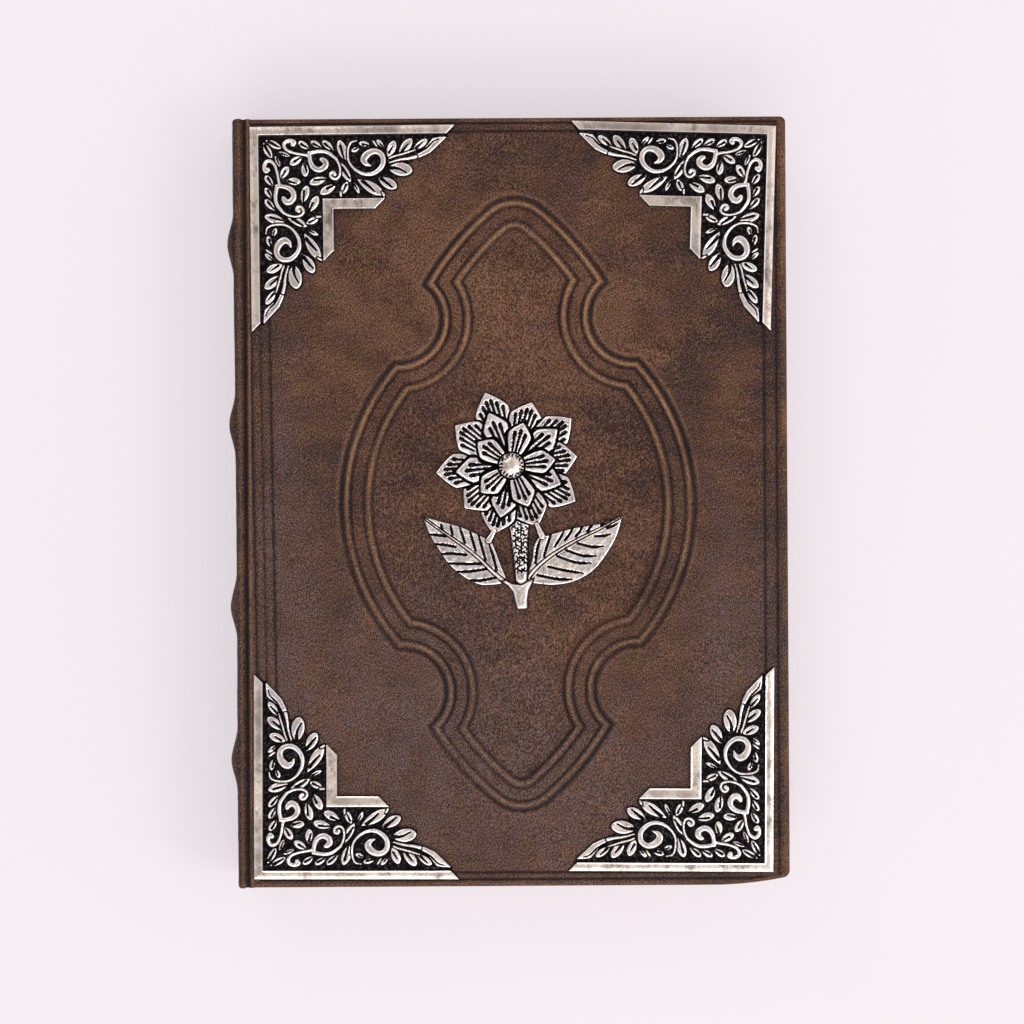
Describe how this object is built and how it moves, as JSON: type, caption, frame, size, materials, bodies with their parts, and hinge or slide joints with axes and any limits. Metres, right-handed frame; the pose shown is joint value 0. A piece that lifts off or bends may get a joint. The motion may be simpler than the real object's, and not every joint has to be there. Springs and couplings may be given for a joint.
{
  "type": "antique leather book",
  "caption": "Closed leather-bound book with a sunk medallion, cast metal corner plates, a cast flower and raised bands; both covers open.",
  "frame": {"origin": "middle of the closed book seen from above, on the face that the back cover rests on", "axes": "+X from the spine to the fore-edge, +Y towards the head, +Z out of the front cover"},
  "size_m": [0.1814, 0.2508, 0.0423],
  "materials": {
    "leather": "dark brown tooled leather, mottled and rubbed",
    "leaves": "edges of old cream leaves",
    "endpaper": "plain aged endpaper",
    "lining": "open woven cloth with glue",
    "band": "plain strip of hide",
    "bead": "sewn silk bead",
    "board": "grey-brown binder's board",
    "cast_metal": "cast silver-grey metal, blackened ground and rubbed relief"
  },
  "bodies": {
    "block": {"text_block": "leaves", "front_flyleaf": "endpaper", "back_flyleaf": "endpaper", "spine_lining": "lining", "raised_band_1": "band", "raised_band_2": "band", "raised_band_3": "band", "raised_band_4": "band", "headband": "bead", "tailband": "bead", "spine_leather": "leather"},
    "front_cover": {"front_board": "board", "frame_card": "board", "front_leather": "leather", "front_pastedown": "endpaper", "corner_head_spine": "cast_metal", "corner_head_fore": "cast_metal", "corner_tail_spine": "cast_metal", "corner_tail_fore": "cast_metal", "flower_ornament": "cast_metal"},
    "back_cover": {"back_board": "board", "back_leather": "leather", "back_pastedown": "endpaper"}
  },
  "joints": [
    {"name": "front_hinge", "type": "hinge", "parent": "block", "child": "front_cover", "pos_m": [-0.0853, 0, 0.0395], "axis": [0, -1, 0], "range_deg": [0, 180]},
    {"name": "back_hinge", "type": "hinge", "parent": "block", "child": "back_cover", "pos_m": [-0.0853, 0, -0.0006], "axis": [0, 1, 0], "range_deg": [0, 180]}
  ]
}
